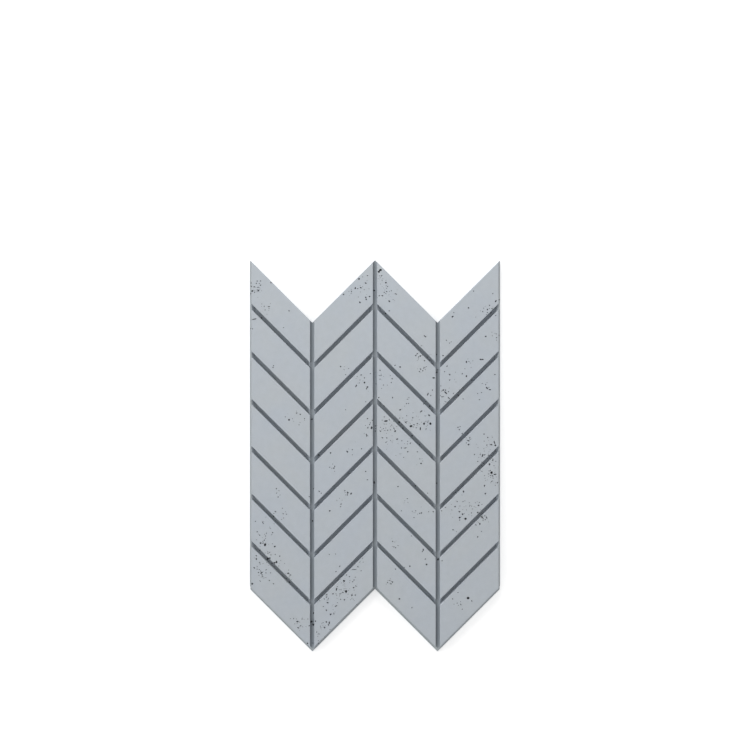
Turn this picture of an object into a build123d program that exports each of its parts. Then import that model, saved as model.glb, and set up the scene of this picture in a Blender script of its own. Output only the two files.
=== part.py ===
"""Cast concrete wall panel with a chevron relief.

The panel is one casting. A flat base plate with zigzag top and bottom edges carries slanted
staves in upright columns, which lean to the other side in each next column. Deep slanted grooves
part the staves of a column down to the plate. Shallow upright grooves part the columns, and each
has its floor on a rib that runs the whole way up. The slanted grooves run out on the ribs' flanks.
Lips round the outside are half grooves, so that two panels set side by side, with a joint between
them, leave one more groove of the same width.

Millimetres. The panel lies on its back: X runs across it, Y up it as it hangs on a wall, and
Z out of its back towards the front. The origin is on the back, at the middle of the outline's box.
"""

from build123d import *

import os
from math import cos, radians, tan

# Driving dimensions
columns = 4  # upright columns of staves
rows = 7  # staves in each column
column_pitch = 150.0  # from the middle of one upright groove to the next
stave_pitch = 80.0  # from the middle of one slanted groove to the next, square to the groove
stave_angle = 45.0  # slope of the staves, degrees
column_groove = 10.5  # width of an upright groove at the front
stave_groove = 10.0  # width of a slanted groove at the front
panel_joint = 2.0  # gap between two panels on the wall
top_lip = 0.8  # base plate past the top staves, square to the edge
base_thickness = 10.0  # plate behind the staves
stave_groove_depth = 15.0  # slanted grooves, cut from the front down to the base plate
column_groove_depth = 6.0  # upright grooves, cut from the front down to a rib
draft_angle = 2.0  # slope of the stave walls, so that the casting leaves its mould
flank_angle = 40.0  # slope of the ribs' flanks, where the slanted grooves run out
arris_radius = 0.8  # rounding of the staves' front edges

# The lips and the joint between two panels add up to one groove
side_lip = (column_groove - panel_joint) / 2
bottom_lip = stave_groove - panel_joint - top_lip

# Thicknesses are measured along Z
rib_height = stave_groove_depth - column_groove_depth
panel_thickness = base_thickness + stave_groove_depth

# Heights are measured along Y, and stave sizes square to the slope
upright = 1 / cos(radians(stave_angle))
row_rise = stave_pitch * upright
column_rise = column_pitch * tan(radians(stave_angle))
stave_width = column_pitch - column_groove
stave_height = (stave_pitch - stave_groove) * upright
panel_width = columns * stave_width + (columns - 1) * column_groove + 2 * side_lip

# The first column leans down to the right, and the lowest point of the zigzag is a valley
row_span = (rows - 1) * row_rise + stave_height
edge_span = (top_lip + bottom_lip) * upright
panel_height = row_span + edge_span + column_rise
valley_foot = -panel_height / 2


def boundary(k):
    """X of the k-th column boundary from the left, where the two outer ones are the panel's sides."""
    if k == 0:
        return -panel_width / 2
    if k == columns:
        return panel_width / 2
    return (k - columns / 2) * column_pitch


def column_middle(column):
    """X of the middle of a column."""
    return (column + 0.5 - columns / 2) * column_pitch


def lean(column):
    """Slope of a column's staves: down to the right in the first column, then turn about."""
    return -tan(radians(stave_angle)) if column % 2 == 0 else tan(radians(stave_angle))


def zigzag(x, column):
    """Height at x of the chevron line in a column, above the line's valleys."""
    return column_rise / 2 + lean(column) * (x - column_middle(column))


def zigzag_face(bottom_inset=0, top_inset=0):
    """The panel's outline, drawn in from its zigzag ends by the given lengths square to the slope."""
    edge = [(boundary(k), zigzag(boundary(k), min(k, columns - 1))) for k in range(columns + 1)]
    foot = valley_foot + bottom_inset * upright
    head = valley_foot + row_span + edge_span - top_inset * upright
    bottom = [(x, foot + y) for x, y in edge]
    top = [(x, head + y) for x, y in edge]
    return make_face(Polyline(*bottom, *reversed(top), close=True))


def rib(middle, width):
    """An upright rib with sloped flanks and zigzag ends flush with the staves, its middle at the given X."""
    foot_width = width + 2 * rib_height * tan(radians(flank_angle))
    section = Polyline(
        (middle - foot_width / 2, base_thickness),
        (middle + foot_width / 2, base_thickness),
        (middle + width / 2, base_thickness + rib_height),
        (middle - width / 2, base_thickness + rib_height),
        close=True,
    )
    bar = extrude(Plane.XZ * make_face(section), amount=panel_height, both=True)
    return bar & extrude(zigzag_face(bottom_lip, top_lip), amount=panel_thickness)


def stave(column):
    """One stave of a column, centred on the origin, with drafted walls and rounded front edges."""
    spread = stave_groove_depth * tan(radians(draft_angle))
    half_width = stave_width / 2 + spread
    half_height = stave_height / 2 + spread * upright
    rise = lean(column) * half_width
    foot = Polyline(
        (-half_width, -rise - half_height),
        (half_width, rise - half_height),
        (half_width, rise + half_height),
        (-half_width, -rise + half_height),
        close=True,
    )
    block = extrude(make_face(foot), amount=stave_groove_depth, taper=draft_angle)
    return fillet(block.faces().sort_by(Axis.Z)[-1].edges(), arris_radius)


def wall_panel():
    """The base plate with every rib and stave cast onto it."""
    base = extrude(zigzag_face(), amount=base_thickness)
    side_middle = (panel_width - side_lip) / 2
    ribs = [rib(boundary(k), column_groove) for k in range(1, columns)]
    ribs += [rib(-side_middle, side_lip), rib(side_middle, side_lip)]
    lowest_middle = valley_foot + bottom_lip * upright + stave_height / 2 + column_rise / 2
    staves = []
    for column in range(columns):
        pattern = stave(column)
        for row in range(rows):
            middle = (column_middle(column), lowest_middle + row * row_rise, base_thickness)
            staves.append(Pos(*middle) * pattern)
    return base.fuse(*ribs, *staves)


os.makedirs("parts", exist_ok=True)
panel = wall_panel()
panel.label = "wall_panel"
export_step(panel, "parts/wall_panel.step")
print(f"panel {panel_width:.1f} x {panel_height:.1f} x {panel_thickness:.1f} mm")
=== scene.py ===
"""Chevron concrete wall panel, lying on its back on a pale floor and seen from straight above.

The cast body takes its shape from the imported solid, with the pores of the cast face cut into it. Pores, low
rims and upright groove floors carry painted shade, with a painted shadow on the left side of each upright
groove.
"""

import math
import random

import bmesh
import bpy
from mathutils import Matrix, Vector, noise
from mathutils.bvhtree import BVHTree

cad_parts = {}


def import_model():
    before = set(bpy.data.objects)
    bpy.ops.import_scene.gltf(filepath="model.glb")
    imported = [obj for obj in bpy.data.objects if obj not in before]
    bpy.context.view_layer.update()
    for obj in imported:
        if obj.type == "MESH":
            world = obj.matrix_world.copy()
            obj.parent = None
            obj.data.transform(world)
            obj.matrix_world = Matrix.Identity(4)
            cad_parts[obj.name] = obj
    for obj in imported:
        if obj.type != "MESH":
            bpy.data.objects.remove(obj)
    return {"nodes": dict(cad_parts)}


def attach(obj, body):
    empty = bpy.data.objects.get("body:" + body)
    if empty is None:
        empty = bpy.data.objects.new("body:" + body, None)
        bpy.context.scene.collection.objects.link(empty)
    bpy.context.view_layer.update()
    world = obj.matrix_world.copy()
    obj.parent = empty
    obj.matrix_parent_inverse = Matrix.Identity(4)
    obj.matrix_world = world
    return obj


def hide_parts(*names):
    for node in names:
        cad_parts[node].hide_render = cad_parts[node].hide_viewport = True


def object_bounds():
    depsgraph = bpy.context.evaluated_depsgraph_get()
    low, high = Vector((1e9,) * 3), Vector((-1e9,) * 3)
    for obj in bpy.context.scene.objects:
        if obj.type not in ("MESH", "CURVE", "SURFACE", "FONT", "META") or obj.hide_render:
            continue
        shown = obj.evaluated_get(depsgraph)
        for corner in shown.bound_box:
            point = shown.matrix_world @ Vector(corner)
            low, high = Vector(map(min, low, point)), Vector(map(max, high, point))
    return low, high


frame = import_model()
cad_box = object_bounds()
draw = random.Random(7)

NODE = "wall_panel"

# Panel, in metres
MM = 0.001
BACK, FRONT = cad_box[0][2], cad_box[1][2]
COLUMN_PITCH = 150 * MM
UPRIGHT_WIDTH = 10.5 * MM
UPRIGHT_FLOOR = FRONT - 6 * MM
SIDE_RIM = 4.25 * MM
FOOT_RIM = 10.2 * MM
WELD_DISTANCE = 0.01 * MM
GROOVE_TOLERANCE = 0.1 * MM
FACING_UP = 0.9

# Materials of the panel's faces, in the order of its material slots; those of the pores, the rim and the
# upright floors hold painted shade
FACE, PORE, RIM, UPRIGHT = range(4)

# Shapes of the pores, as shares of their own sizes
WIDTH_RANGE = (0.85, 1.15)
FINE_WIDTH_RANGE = (0.7, 1.3)
STRETCH_RANGE = (1.0, 1.3)
DEPTH_RANGE = (0.45, 0.7)
PORE_SINK = 0.2
PORE_SPACING = 0.6
PORE_LUMP = 0.22
LUMP_WAVES = 1.3
NOISE_REACH = 99

# Eggs that cut the pores, and the height from which rays find their places, in metres
BIG_EGG = 3.5 * MM
FINE_EGG_SUBDIVISIONS, BIG_EGG_SUBDIVISIONS = 2, 3
RAY_START = 1.0

# Pores seen on the cast face, in millimetres of the panel's own frame, by the width of their mouth
HUGE_PORE, LARGE_PORE, MEDIUM_PORE, SMALL_PORE, FINE_PORE = 6.4, 5.2, 3.9, 2.8, 1.7
HUGE_PORES = [(13, 444), (86, 72), (-262, -211), (278, -39), (-69, -322), (222, -338)]
LARGE_PORES = [
    (-293, 394), (-2, 396), (9, 440), (288, 370), (-205, 87), (132, 78), (-2, -63), (202, -146), (151, -247),
    (-257, -247), (-152, -396), (-147, -403), (-293, -304), (-74, -297), (-240, -254), (-235, -252),
    (-193, -304), (117, 78), (-8, 68), (216, -149), (255, -145), (184, -100),
]
MEDIUM_PORES = [
    (-288, 404), (-248, 414), (-272, 331), (-38, 423), (-22, 413), (-47, 401), (-34, 402), (-75, 386),
    (-22, 379), (-21, 374), (-13, 381), (-36, 367), (26, 414), (34, 370), (26, 342), (113, 256), (108, 239),
    (147, 243), (162, 240), (185, 333), (223, 354), (278, 343), (264, 286), (-82, 214), (-25, 176),
    (-18, 165), (-151, 88), (-66, 11), (-106, 8), (-135, 2), (60, 213), (129, 98), (48, 60), (89, 48),
    (78, 11), (218, 225), (252, 231), (257, 231), (178, 195), (218, 191), (163, 158), (200, 145), (223, 28),
    (287, 26), (257, 3), (147, 200), (-98, -28), (-65, -87), (-57, -89), (-108, -130), (-243, -144),
    (-273, -207), (-239, -215), (-149, -155), (281, -9), (273, -19), (261, -70), (211, -84), (147, -65),
    (97, -72), (201, -132), (209, -138), (247, -117), (245, -134), (250, -161), (115, -223), (-283, -245),
    (-251, -243), (-288, -266), (-271, -278), (-205, -303), (-100, -328), (-73, -342), (-113, -349),
    (-116, -367), (-115, -330), (-147, -375), (-183, -409), (-142, -393), (-161, -446), (123, -258),
    (83, -262), (58, -340), (-185, -394), (-51, -313), (-106, -377), (-120, -408), (-116, -395), (60, 111),
    (45, 84), (22, 120), (58, 81), (67, 66), (131, 119), (110, -17), (191, -120), (245, -192),
]
SMALL_PORES = [
    (-287, 391), (-283, 412), (-276, 412), (-273, 408), (-273, 418), (-281, 418), (-279, 403), (-296, 414),
    (-296, 406), (-297, 388), (-264, 358), (-262, 349), (-205, 347), (-297, 305), (-292, 304), (-218, 307),
    (-18, 431), (-41, 400), (-56, 393), (15, 430), (22, 391), (30, 405), (39, 395), (28, 393), (10, 383),
    (18, 383), (34, 347), (118, 287), (121, 285), (101, 245), (97, 240), (104, 237), (178, 270), (188, 343),
    (235, 394), (281, 388), (297, 374), (273, 360), (257, 345), (279, 352), (268, 350), (268, 343),
    (288, 336), (289, 292), (290, 283), (295, 305), (296, 288), (-242, 216), (-70, 195), (-33, 194),
    (-11, 197), (-25, 187), (-20, 161), (-22, 130), (-70, 111), (-187, 103), (-178, 100), (-214, 94),
    (-168, 90), (-181, 75), (-18, 90), (-6, 86), (-13, 76), (-17, 68), (-32, 18), (-54, 16), (48, 217),
    (117, 212), (109, 208), (114, 204), (106, 202), (118, 228), (150, 206), (12, 205), (12, 184), (41, 185),
    (39, 176), (20, 170), (9, 140), (42, 140), (77, 136), (75, 126), (80, 126), (133, 145), (137, 158),
    (22, 94), (59, 91), (90, 92), (34, 88), (93, 75), (98, 68), (101, 78), (20, 66), (13, 60), (37, 63),
    (30, 62), (45, 67), (18, 44), (28, 44), (64, 37), (26, 33), (78, 36), (84, 31), (63, 20), (101, 11),
    (172, 215), (224, 226), (166, 202), (208, 197), (178, 182), (157, 168), (168, 158), (175, 154),
    (160, 142), (187, 150), (201, 158), (211, 163), (232, 182), (210, 137), (245, 150), (254, 152),
    (249, 135), (264, 171), (286, 195), (197, 69), (203, 71), (201, 64), (208, 54), (226, 44), (218, 32),
    (260, 53), (269, 45), (267, 27), (237, 4), (251, 4), (262, 4), (271, 2), (-108, -26), (-96, -24),
    (-22, -36), (-18, -56), (-60, -43), (-72, -82), (-66, -92), (-81, -114), (-82, -120), (-133, -84),
    (-128, -88), (-147, -78), (-235, -77), (-229, -82), (-231, -97), (-157, -96), (-237, -132), (-241, -136),
    (-219, -137), (-211, -138), (-218, -147), (-285, -155), (-268, -157), (-281, -180), (-275, -188),
    (-244, -182), (-261, -190), (-264, -200), (-267, -207), (-276, -227), (-255, -231), (-248, -235),
    (-238, -234), (-251, -229), (-227, -238), (-109, -234), (-94, -233), (245, -12), (288, -12), (255, -36),
    (275, -34), (271, -42), (275, -46), (280, -47), (278, -60), (55, -72), (125, -88), (145, -97), (77, -101),
    (63, -130), (97, -130), (107, -136), (111, -135), (128, -132), (139, -132), (93, -146), (159, -130),
    (210, -108), (196, -108), (168, -122), (249, -110), (255, -115), (202, -152), (230, -135), (261, -142),
    (263, -151), (241, -164), (186, -175), (42, -203), (45, -216), (49, -218), (55, -213), (113, -227),
    (87, -190), (-283, -237), (-275, -253), (-247, -258), (-281, -269), (-276, -270), (-260, -271),
    (-278, -277), (-269, -283), (-260, -278), (-249, -278), (-268, -287), (-252, -296), (-242, -304),
    (-201, -283), (-200, -298), (-187, -318), (-84, -262), (-93, -275), (-41, -263), (-33, -273), (-61, -287),
    (-47, -288), (-68, -283), (-50, -295), (-53, -299), (-46, -309), (-81, -318), (-76, -325), (-84, -328),
    (-93, -328), (-47, -331), (-82, -341), (-116, -336), (-121, -340), (-123, -358), (-98, -376),
    (-160, -388), (-157, -404), (-194, -387), (-174, -388), (-177, -404), (-111, -402), (-129, -409),
    (-139, -419), (-135, -440), (-121, -434), (-136, -449), (-148, -447), (-44, -356), (120, -245),
    (49, -269), (70, -265), (160, -249), (34, -296), (30, -301), (38, -304), (42, -300), (88, -361),
    (198, -325), (185, -340), (196, -350), (205, -354), (231, -345), (107, 27), (122, 130), (116, 125),
    (1, 72), (2, 66), (1, 60), (292, -63), (254, -179),
]
# Long pores: x, y, width, length and slope in degrees
LONG_PORES = [
    (-278, 395, 3.2, 5.5, 55), (-288, 327, 2.4, 11, 14), (-253, 357, 2.2, 6, 0), (50, 387, 2.0, 6, -35),
    (-45, 168, 2.6, 7, 62), (-20, 50, 2.4, 8, 85), (140, 187, 3.4, 7, 0), (110, 107, 2.8, 7, 38),
    (126, 148, 2.6, 8, 65), (73, 81, 2.4, 7, -50), (108, 66, 3.0, 8, 85), (53, 41, 3.0, 5, 15),
    (72, 20, 2.2, 7, 10), (267, 163, 3.4, 7, -45), (274, 159, 3.0, 5.5, 10), (169, 151, 3.0, 8, -40),
    (176, 139, 2.4, 7, -50), (223, 37, 2.4, 6, -15), (277, 28, 2.4, 6, 0), (285, 33, 2.4, 9, -75),
    (286, -43, 3.0, 8, 5), (263, -89, 3.0, 5, 40), (-50, -270, 1.6, 12, 0), (-92, -317, 3.0, 7, 80),
    (-55, -331, 2.5, 5, -20), (-93, -357, 2.5, 7, 30), (-109, -397, 3.0, 6.5, 85), (-207, -279, 3.0, 6.5, 5),
    (26, 84, 4.2, 9.5, 5), (266, -146, 2.5, 7, -60),
]
# Patches of fine pores: x, y, spread and count
FINE_PATCHES = [
    (-278, 405, 18, 10), (-258, 352, 16, 7), (-243, 213, 6, 3), (-190, 88, 25, 6), (-232, -85, 12, 3),
    (-225, -140, 22, 6), (-265, -170, 28, 12), (-262, -195, 25, 12), (-260, -245, 25, 16),
    (-268, -275, 24, 16), (-205, -288, 12, 6), (-180, -398, 20, 10), (-150, -398, 8, 4), (-35, 398, 26, 16),
    (-60, 390, 15, 5), (-75, 205, 14, 4), (-35, 175, 22, 8), (-15, 75, 10, 5), (-20, 50, 6, 3),
    (-60, 18, 16, 4), (-100, -26, 10, 3), (-133, -86, 8, 3), (-65, -88, 10, 3), (-85, -105, 14, 3),
    (-62, -300, 24, 16), (-80, -325, 28, 18), (-112, -345, 16, 7), (-100, -370, 14, 5), (-122, -400, 20, 10),
    (-135, -425, 12, 4), (-55, -335, 16, 6), (15, 425, 16, 8), (22, 395, 20, 14), (38, 385, 16, 5),
    (108, 240, 14, 8), (115, 265, 16, 5), (20, 180, 22, 8), (112, 205, 12, 6), (75, 130, 12, 4),
    (30, 70, 24, 20), (30, 45, 22, 8), (100, 80, 30, 16), (118, 70, 18, 8), (75, 30, 18, 6), (60, 5, 14, 4),
    (112, -10, 14, 5), (75, -105, 10, 3), (100, -133, 14, 5), (50, -205, 14, 5), (36, -300, 9, 8),
    (175, 272, 10, 3), (268, 348, 18, 8), (286, 288, 12, 5), (225, 225, 20, 5), (168, 150, 14, 8),
    (195, 190, 24, 4), (265, 160, 14, 4), (200, 68, 8, 3), (222, 36, 10, 6), (278, 32, 16, 8),
    (255, 5, 20, 8), (280, -15, 16, 8), (272, -45, 22, 14), (278, -62, 14, 5), (205, -135, 24, 12),
    (240, -125, 18, 8), (255, -145, 18, 10), (205, -108, 16, 6), (245, -162, 10, 3), (188, -177, 6, 2),
    (205, -355, 18, 6), (262, 6, 24, 12), (289, 12, 10, 7), (-232, -258, 18, 9), (-212, -284, 12, 5),
    (-40, -252, 14, 7), (66, 82, 24, 14), (118, 90, 20, 8), (128, 232, 12, 6), (-285, 395, 14, 6),
    (-150, -405, 12, 6), (165, 128, 12, 6), (225, -118, 20, 8), (12, 195, 10, 6),
]

# Colours, linear
BLUE_GREY = (0.444, 0.482, 0.526)
PLAIN_GREY = (0.454, 0.486, 0.515)
FACE_TINT = (1.0, 1.0, 1.0)
# Painted shade: the pore walls are darkened to stand in for the shade deep inside the pores
PORE_PAINTED_SHADE = (0.22, 0.22, 0.22)
# Painted shade: the low rim beside the staves is darkened where shade falls, and made a little warmer in hue
RIM_PAINTED_SHADE = (0.90, 0.90, 0.875)
# Painted shadow and shade: each upright groove floor is darkened, much more on its left side, where the left
# wall's shadow falls
UPRIGHT_LEFT_PAINTED_SHADOW = (0.35, 0.36, 0.37)
UPRIGHT_RIGHT_PAINTED_SHADE = (0.79, 0.81, 0.82)

# Concrete: noises in waves per metre, and how far they move its tone, roughness and height
CLOUD_WAVES, CLOUD_DETAIL = 11.0, 4.0
MOTTLE_WAVES, MOTTLE_DETAIL = 70.0, 5.0
GRAIN_WAVES, GRAIN_DETAIL = 900.0, 3.0
SOFT_NOISE, SHARP_NOISE = 0.55, 0.7
CLOUD_SPAN = (0.35, 0.65)
NOISE_SPAN = (0.2, 0.8)
MOTTLE_TONE = (0.965, 1.035)
GRAIN_TONE = (0.95, 1.05)
ROUGHNESS = (0.78, 0.92)
SPECULAR_LEVEL = 0.25
MOTTLE_HEIGHT, GRAIN_HEIGHT = 0.5, 0.12
BUMP_STRENGTH, BUMP_DISTANCE = 0.35, 0.3 * MM

# Camera and light, in metres and watts, with lens and sensor in millimetres
PHOTO_LENS, SENSOR = 50.0, 36.0
CAMERA_HEIGHT = 2.484
CAMERA_Y = 0.1939
WORLD_LEVEL = 0.76
WORLD_LEAN = 0.15
WORLD_DIP = 1.0
WHITE_BACKDROP = 1.0
LEFT_LAMP_PLACE, LEFT_LAMP_SIZE, LEFT_LAMP_POWER = (-2.6, 0.8, 2.7), 1.2, 20.0
TOP_LAMP_PLACE, TOP_LAMP_SIZE, TOP_LAMP_POWER = (0, 1.6, 1.1), 0.5, 7.2
FLOOR_REACH = 40.0
FLOOR_GREY = 0.8
FLOOR_GLOW = 0.44
FLOOR_GAP = 0.05 * MM


def welded_body():
    """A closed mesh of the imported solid, with the faces' split corners joined."""
    shape = bmesh.new()
    shape.from_mesh(frame["nodes"][NODE].data)
    bmesh.ops.remove_doubles(shape, verts=shape.verts, dist=WELD_DISTANCE)
    return shape


def all_pores():
    """Every pore as x, y, width, length and slope, with the long ones first."""
    pores = list(LONG_PORES)
    pores += [round_pore(x, y, HUGE_PORE) for x, y in HUGE_PORES]
    sizes = ((LARGE_PORE, LARGE_PORES), (MEDIUM_PORE, MEDIUM_PORES), (SMALL_PORE, SMALL_PORES))
    for width, places in sizes:
        pores += [round_pore(x, y, width * draw.uniform(*WIDTH_RANGE)) for x, y in places]
    for x, y, spread, count in FINE_PATCHES:
        for _ in range(count):
            width = FINE_PORE * draw.uniform(*FINE_WIDTH_RANGE)
            pores.append(round_pore(x + draw.gauss(0, spread / 2), y + draw.gauss(0, spread / 2), width))
    return pores


def round_pore(x, y, size):
    """A pore of about one width all round, drawn out a little one way."""
    stretch = draw.uniform(*STRETCH_RANGE)
    return x, y, size / stretch, size * stretch, draw.uniform(0, 180)


def unit_ball(subdivisions):
    """Points and faces of a ball of radius 1."""
    shape = bmesh.new()
    bmesh.ops.create_icosphere(shape, subdivisions=subdivisions, radius=1.0)
    points = [vert.co.copy() for vert in shape.verts]
    faces = [[vert.index for vert in face.verts] for face in shape.faces]
    shape.free()
    return points, faces


def add_pore(layer, ball, centre, width, length, slope, depth):
    """Adds one closed, uneven egg to a cutting mesh."""
    points, faces = ball
    first = len(layer["points"])
    turn = Matrix.Rotation(slope, 3, "Z")
    seed = Vector([draw.uniform(0, NOISE_REACH) for _ in range(3)])
    for point in points:
        lump = 1 + PORE_LUMP * noise.noise(point * LUMP_WAVES + seed)
        egg = Vector((point.x * length / 2, point.y * width / 2, point.z * depth))
        layer["points"].append(centre + turn @ (egg * lump))
    layer["faces"] += [[first + corner for corner in face] for face in faces]


def free_layer(layers, place, length):
    """The first layer with room for a pore, or else a new one, with the pore's place kept in it."""
    for layer in layers:
        if all(math.dist(place, other) > PORE_SPACING * (length + size) for other, size in layer["kept"]):
            break
    else:
        layer = {"kept": [], "points": [], "faces": []}
        layers.append(layer)
    layer["kept"].append((place, length))
    return layer


def pore_layers(tree):
    """Pores to cut away, in layers with no two pores that touch."""
    fine_ball, big_ball = unit_ball(FINE_EGG_SUBDIVISIONS), unit_ball(BIG_EGG_SUBDIVISIONS)
    layers = []
    for x, y, width, length, slope in all_pores():
        x, y, width, length = x * MM, y * MM, width * MM, length * MM
        hit = tree.ray_cast(Vector((x, y, RAY_START)), Vector((0, 0, -1)))[0]
        if hit is None:
            continue
        layer = free_layer(layers, (x, y), length)
        depth = width * draw.uniform(*DEPTH_RANGE)
        centre = hit - Vector((0, 0, PORE_SINK * depth))
        ball = big_ball if length > BIG_EGG else fine_ball
        add_pore(layer, ball, centre, width, length, math.radians(slope), depth)
    return layers


def pore_cutter(layer, name, material):
    """A closed mesh of one layer of pores."""
    mesh = bpy.data.meshes.new(name)
    mesh.from_pydata(layer["points"], [], layer["faces"])
    return object_from(mesh, material)


def mesh_from(shape, name):
    """A new mesh from a bmesh."""
    mesh = bpy.data.meshes.new(name)
    shape.to_mesh(mesh)
    shape.free()
    return mesh


def object_from(mesh, material):
    """A new object with the name of its mesh."""
    mesh.materials.append(material)
    made = bpy.data.objects.new(mesh.name, mesh)
    bpy.context.collection.objects.link(made)
    return made


def cast_panel(*materials):
    """The panel with its pores cut in, and with the given materials in its slots."""
    body = welded_body()
    layers = pore_layers(BVHTree.FromBMesh(body))
    panel = object_from(mesh_from(body, "cast_panel"), materials[FACE])
    tools = [pore_cutter(layer, f"pores_{i}", materials[PORE]) for i, layer in enumerate(layers)]
    for tool in tools:
        cut = panel.modifiers.new(tool.name, "BOOLEAN")
        cut.operation = "DIFFERENCE"
        cut.solver = "MANIFOLD"
        cut.material_mode = "TRANSFER"
        cut.object = tool
    bpy.context.view_layer.update()
    graph = bpy.context.evaluated_depsgraph_get()
    cut_mesh = bpy.data.meshes.new_from_object(panel.evaluated_get(graph))
    panel.modifiers.clear()
    panel.data = cut_mesh
    for tool in tools:
        bpy.data.objects.remove(tool)
    panel.data.materials.append(materials[RIM])
    panel.data.materials.append(materials[UPRIGHT])
    finish_faces(panel.data)
    return panel


def on_rim(point):
    """Whether a point is on the low rim at the sides and the foot, outside the staves."""
    fold = COLUMN_PITCH - abs(abs(point.x) % (2 * COLUMN_PITCH) - COLUMN_PITCH)
    foot = cad_box[0][1] + COLUMN_PITCH - fold
    return abs(point.x) > cad_box[1][0] - SIDE_RIM or point.y < foot + FOOT_RIM


def on_upright(face, point):
    """Whether a face with its middle at a point is on the floor of an upright groove."""
    return abs(point.z - UPRIGHT_FLOOR) < GROOVE_TOLERANCE and face.normal.z > FACING_UP


def finish_faces(mesh):
    """Smooth pore walls with crisp mouths, flat cast faces, and own materials with painted shade for rim and
    upright floors.
    """
    shape = bmesh.new()
    shape.from_mesh(mesh)
    for face in shape.faces:
        face.smooth = face.material_index == PORE
        middle = face.calc_center_median()
        # rim and upright floor faces take the materials with painted shade
        if face.material_index == FACE and on_rim(middle):
            face.material_index = RIM
        elif face.material_index == FACE and on_upright(face, middle):
            face.material_index = UPRIGHT
    for edge in shape.edges:
        edge.smooth = all(face.material_index == PORE for face in edge.link_faces)
    shape.to_mesh(mesh)
    shape.free()


def node(tree, kind, **values):
    """A new shader node with its inputs set by name."""
    made = tree.nodes.new(kind)
    for name, value in values.items():
        made.inputs[name].default_value = value
    return made


def noise_node(tree, place, waves, detail, roughness):
    """Noise with a number of waves per metre."""
    made = node(tree, "ShaderNodeTexNoise", Scale=waves, Detail=detail, Roughness=roughness)
    tree.links.new(place, made.inputs["Vector"])
    return made.outputs["Fac"]


def ranged(tree, value, span, result):
    """A value mapped from one range to another."""
    made = tree.nodes.new("ShaderNodeMapRange")
    made.inputs["From Min"].default_value, made.inputs["From Max"].default_value = span
    made.inputs["To Min"].default_value, made.inputs["To Max"].default_value = result
    tree.links.new(value, made.inputs["Value"])
    return made.outputs["Result"]


def math_node(tree, kind, first, second):
    """A sum, product or maximum of two values, where the second may be a number."""
    made = tree.nodes.new("ShaderNodeMath")
    made.operation = kind
    tree.links.new(first, made.inputs[0])
    if isinstance(second, float):
        made.inputs[1].default_value = second
    else:
        tree.links.new(second, made.inputs[1])
    return made.outputs[0]


def across_upright(tree, x):
    """From 0 at the left side of the nearest upright groove to 1 at its right side; it places the painted
    shadow on the upright floors.
    """
    near = tree.nodes.new("ShaderNodeMath")
    near.operation = "WRAP"
    near.inputs[1].default_value = COLUMN_PITCH / 2
    near.inputs[2].default_value = -COLUMN_PITCH / 2
    tree.links.new(x, near.inputs[0])
    return ranged(tree, near.outputs[0], (-UPRIGHT_WIDTH / 2, UPRIGHT_WIDTH / 2), (0.0, 1.0))


def mixed(tree, share, first, second):
    """A blend of two colours."""
    made = tree.nodes.new("ShaderNodeMix")
    made.data_type = "RGBA"
    made.inputs[6].default_value = (*first, 1)
    made.inputs[7].default_value = (*second, 1)
    tree.links.new(share, made.inputs[0])
    return made.outputs[2]


def concrete(name, left_painted_shade, right_painted_shade):
    """Dull grey cast concrete with cloudy tone and fine sand grain, times a painted shade factor that runs
    from left to right across each upright groove.
    """
    material = bpy.data.materials.new(name)
    material.use_nodes = True
    tree = material.node_tree
    shader = tree.nodes["Principled BSDF"]
    place = tree.nodes.new("ShaderNodeTexCoord").outputs["Object"]
    clouds = noise_node(tree, place, CLOUD_WAVES, CLOUD_DETAIL, SOFT_NOISE)
    mottle = noise_node(tree, place, MOTTLE_WAVES, MOTTLE_DETAIL, SOFT_NOISE)
    grain = noise_node(tree, place, GRAIN_WAVES, GRAIN_DETAIL, SHARP_NOISE)

    split = tree.nodes.new("ShaderNodeSeparateXYZ")
    tree.links.new(place, split.inputs[0])
    greys = mixed(tree, ranged(tree, clouds, CLOUD_SPAN, (0.0, 1.0)), BLUE_GREY, PLAIN_GREY)
    # painted shadow: the upright floors darken towards their left side
    painted_shades = mixed(tree, across_upright(tree, split.outputs["X"]), left_painted_shade, right_painted_shade)
    cast = tree.nodes.new("ShaderNodeVectorMath")
    cast.operation = "MULTIPLY"
    tree.links.new(greys, cast.inputs[0])
    tree.links.new(painted_shades, cast.inputs[1])

    speckle = ranged(tree, grain, NOISE_SPAN, GRAIN_TONE)
    tone = math_node(tree, "MULTIPLY", ranged(tree, mottle, NOISE_SPAN, MOTTLE_TONE), speckle)
    toned = tree.nodes.new("ShaderNodeVectorMath")
    toned.operation = "SCALE"
    tree.links.new(cast.outputs[0], toned.inputs[0])
    tree.links.new(tone, toned.inputs["Scale"])
    tree.links.new(toned.outputs[0], shader.inputs["Base Color"])

    tree.links.new(ranged(tree, mottle, NOISE_SPAN, ROUGHNESS), shader.inputs["Roughness"])
    shader.inputs["Specular IOR Level"].default_value = SPECULAR_LEVEL

    fine_height = math_node(tree, "MULTIPLY", grain, GRAIN_HEIGHT)
    broad_height = math_node(tree, "MULTIPLY", mottle, MOTTLE_HEIGHT)
    bump = node(tree, "ShaderNodeBump", Strength=BUMP_STRENGTH, Distance=BUMP_DISTANCE)
    tree.links.new(math_node(tree, "ADD", fine_height, broad_height), bump.inputs["Height"])
    tree.links.new(bump.outputs["Normal"], shader.inputs["Normal"])
    return material


def is_seen(tree):
    """1 for rays from the camera, or through gloss or glass, and 0 for those that light things."""
    path = tree.nodes.new("ShaderNodeLightPath")
    seen = math_node(tree, "MAXIMUM", path.outputs["Is Camera Ray"], path.outputs["Is Glossy Ray"])
    return math_node(tree, "MAXIMUM", seen, path.outputs["Is Transmission Ray"])


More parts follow.
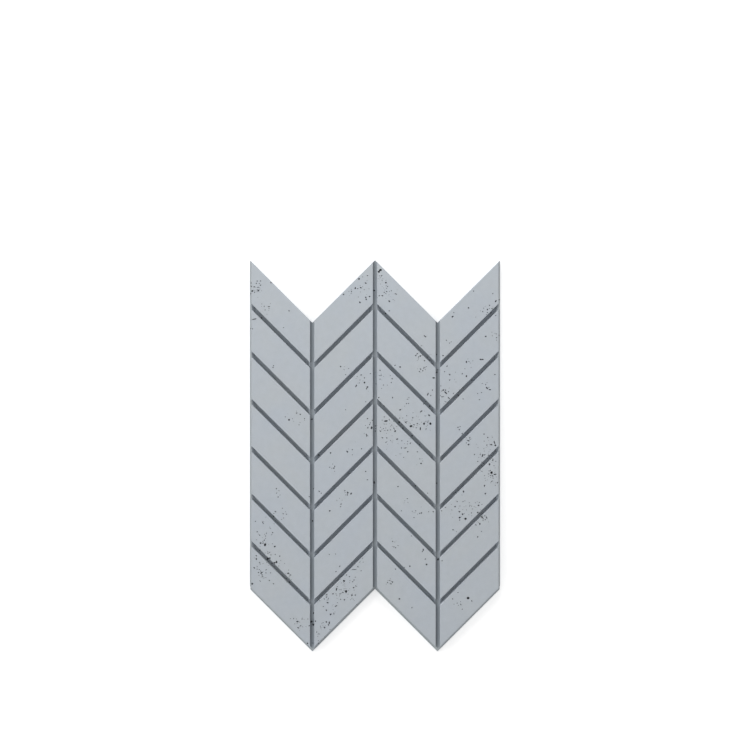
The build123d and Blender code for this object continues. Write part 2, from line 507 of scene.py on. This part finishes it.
def floor():
    """A pale floor that reads white and keeps the panel's shadow."""
    shape = bmesh.new()
    bmesh.ops.create_grid(shape, x_segments=1, y_segments=1, size=FLOOR_REACH)
    material = bpy.data.materials.new("floor_white")
    material.use_nodes = True
    tree = material.node_tree
    tree.nodes.clear()
    matte = node(tree, "ShaderNodeBsdfDiffuse", Color=(FLOOR_GREY, FLOOR_GREY, FLOOR_GREY, 1))
    glow = node(tree, "ShaderNodeEmission", Color=(1, 1, 1, 1))
    tree.links.new(math_node(tree, "MULTIPLY", is_seen(tree), FLOOR_GLOW), glow.inputs["Strength"])
    both = tree.nodes.new("ShaderNodeAddShader")
    tree.links.new(matte.outputs[0], both.inputs[0])
    tree.links.new(glow.outputs[0], both.inputs[1])
    end = tree.nodes.new("ShaderNodeOutputMaterial")
    tree.links.new(both.outputs[0], end.inputs["Surface"])
    made = object_from(mesh_from(shape, "floor"), material)
    made.location.z = BACK - FLOOR_GAP


def world():
    """Soft light from all round, stronger from the left and weak overhead, with a white backdrop."""
    made = bpy.data.worlds.new("studio")
    bpy.context.scene.world = made
    made.use_nodes = True
    tree = made.node_tree
    back = tree.nodes["Background"]
    back.inputs["Color"].default_value = (1, 1, 1, 1)
    split = tree.nodes.new("ShaderNodeSeparateXYZ")
    tree.links.new(tree.nodes.new("ShaderNodeTexCoord").outputs["Generated"], split.inputs[0])
    horizon = WORLD_LEVEL / (1 - WORLD_DIP * 2 / 3)
    lean = ranged(tree, split.outputs["X"], (-1.0, 1.0), (1 + WORLD_LEAN, 1 - WORLD_LEAN))
    dip = ranged(tree, split.outputs["Z"], (0.0, 1.0), (horizon, horizon * (1 - WORLD_DIP)))
    choice = tree.nodes.new("ShaderNodeMix")
    choice.inputs[3].default_value = WHITE_BACKDROP
    tree.links.new(is_seen(tree), choice.inputs[0])
    tree.links.new(math_node(tree, "MULTIPLY", lean, dip), choice.inputs[2])
    tree.links.new(choice.outputs[0], back.inputs["Strength"])


def softbox(name, place, size, power):
    """A square lamp that faces the panel."""
    lamp = bpy.data.lights.new(name, "AREA")
    lamp.shape = "SQUARE"
    lamp.size = size
    lamp.energy = power
    made = bpy.data.objects.new(name, lamp)
    made.location = place
    made.rotation_euler = (-Vector(place)).to_track_quat("-Z", "Y").to_euler()
    bpy.context.collection.objects.link(made)


def camera():
    """Straight above the upper part of the panel, looking down as an unturned camera does."""
    lens = bpy.data.cameras.new("photo_camera")
    lens.lens = PHOTO_LENS
    lens.sensor_width = SENSOR
    made = bpy.data.objects.new("photo_camera", lens)
    made.location = (0, CAMERA_Y, FRONT + CAMERA_HEIGHT)
    bpy.context.collection.objects.link(made)
    bpy.context.scene.camera = made


panel = cast_panel(
    concrete("cast_face", FACE_TINT, FACE_TINT),
    # painted shade inside the pores
    concrete("pore_painted_shade", PORE_PAINTED_SHADE, PORE_PAINTED_SHADE),
    # painted shade on the low rim
    concrete("cast_rim_painted_shade", RIM_PAINTED_SHADE, RIM_PAINTED_SHADE),
    # painted shadow and shade on the upright groove floors
    concrete("upright_floor_painted_shadow", UPRIGHT_LEFT_PAINTED_SHADOW, UPRIGHT_RIGHT_PAINTED_SHADE),
)
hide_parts(NODE)
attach(panel, "root")

floor()
world()
softbox("left_softbox", LEFT_LAMP_PLACE, LEFT_LAMP_SIZE, LEFT_LAMP_POWER)
softbox("top_softbox", TOP_LAMP_PLACE, TOP_LAMP_SIZE, TOP_LAMP_POWER)
camera()
bpy.context.scene.view_settings.view_transform = "Standard"
